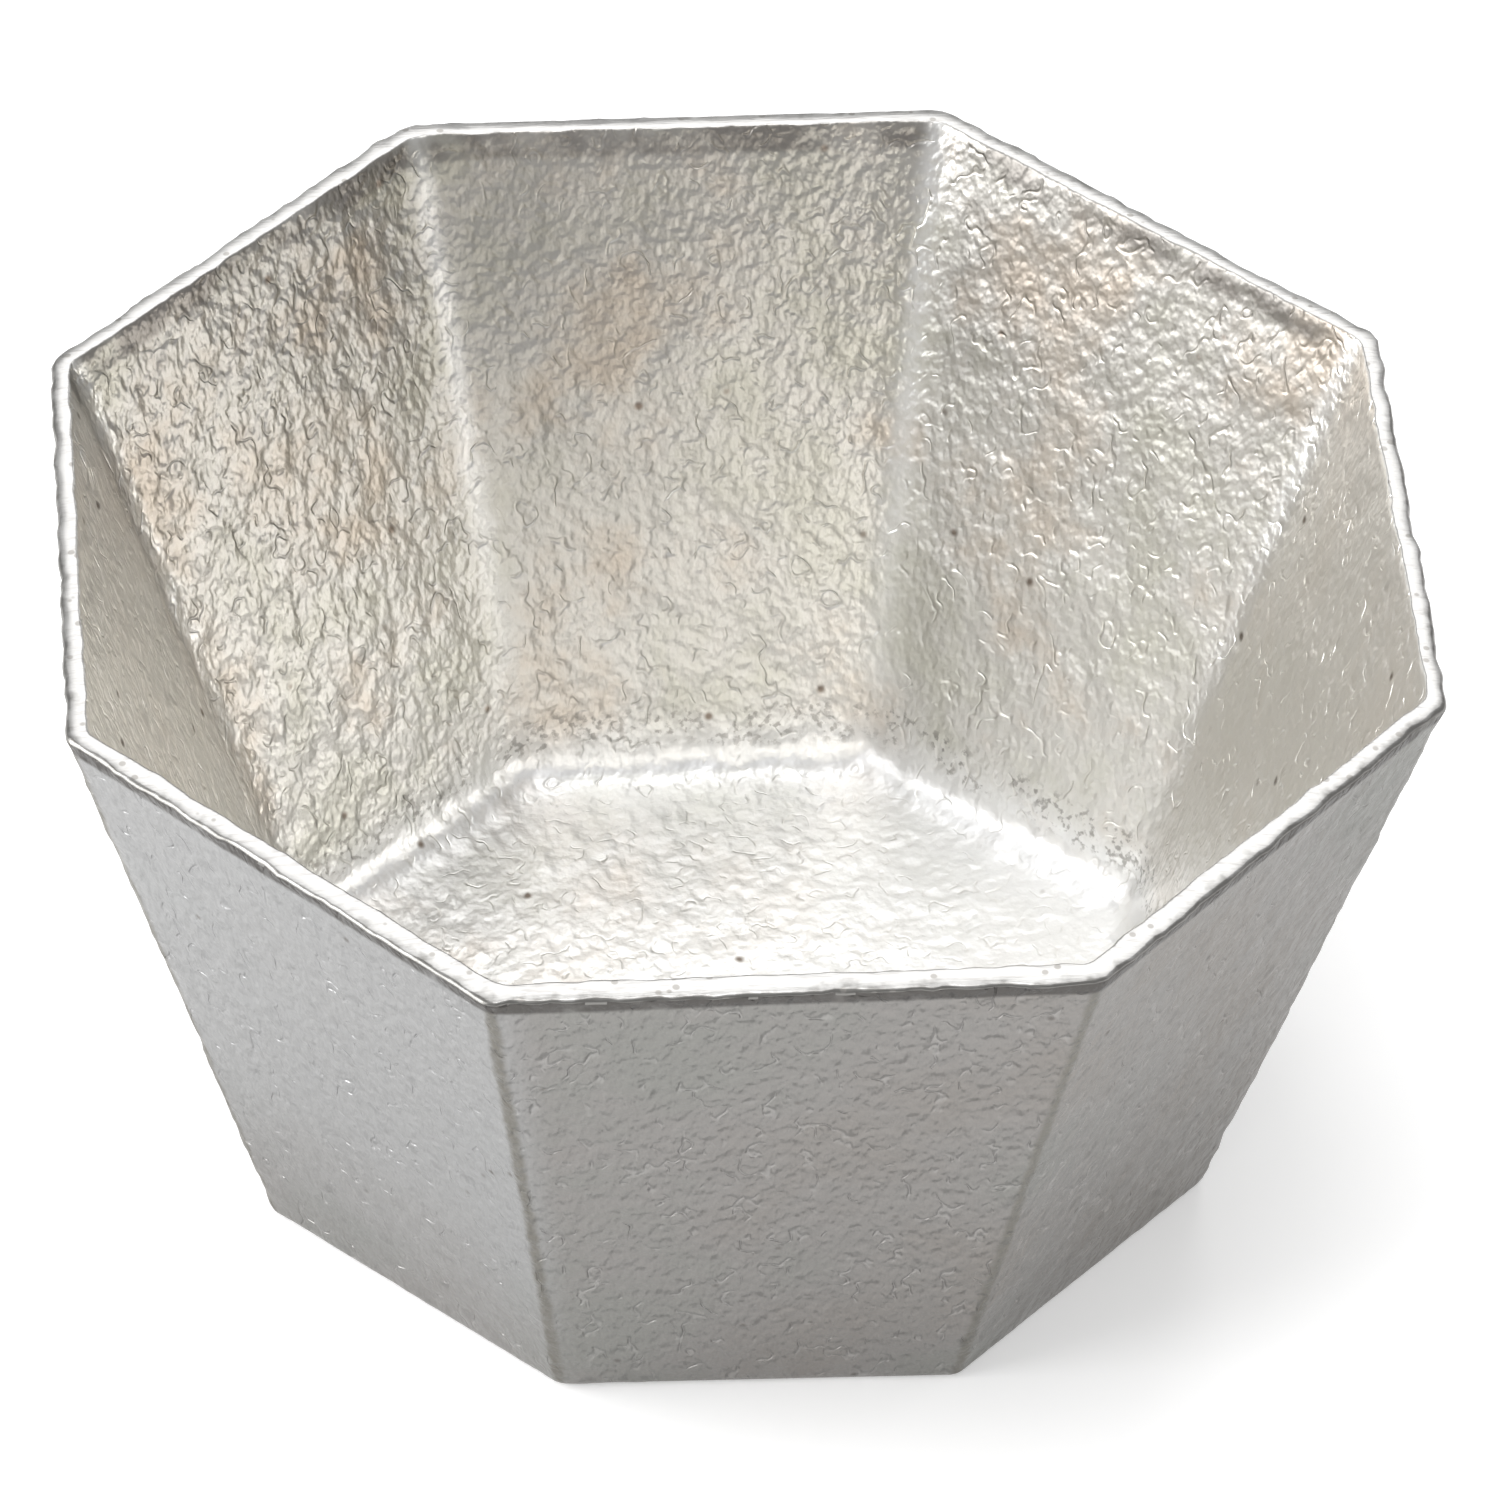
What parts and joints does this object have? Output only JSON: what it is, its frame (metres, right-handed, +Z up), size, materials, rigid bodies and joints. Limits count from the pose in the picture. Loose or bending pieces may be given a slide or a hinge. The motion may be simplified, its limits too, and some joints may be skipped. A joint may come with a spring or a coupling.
{
  "type": "octagonal cup",
  "caption": "Small octagonal flared cup, sand-cast in one piece of tin, with a flat foot, a fine grainy skin and a ground rim.",
  "frame": {"origin": "centre of the foot, on the surface that the cup stands on", "axes": "+Z up through the middle of the mouth; one of the eight flat sides faces -Y"},
  "size_m": [0.0598, 0.0598, 0.0316],
  "materials": {
    "cast_tin": "as cast, fine sand grain, with a ground bright rim"
  },
  "bodies": {
    "root": {"cup_body": "cast_tin"}
  },
  "joints": []
}
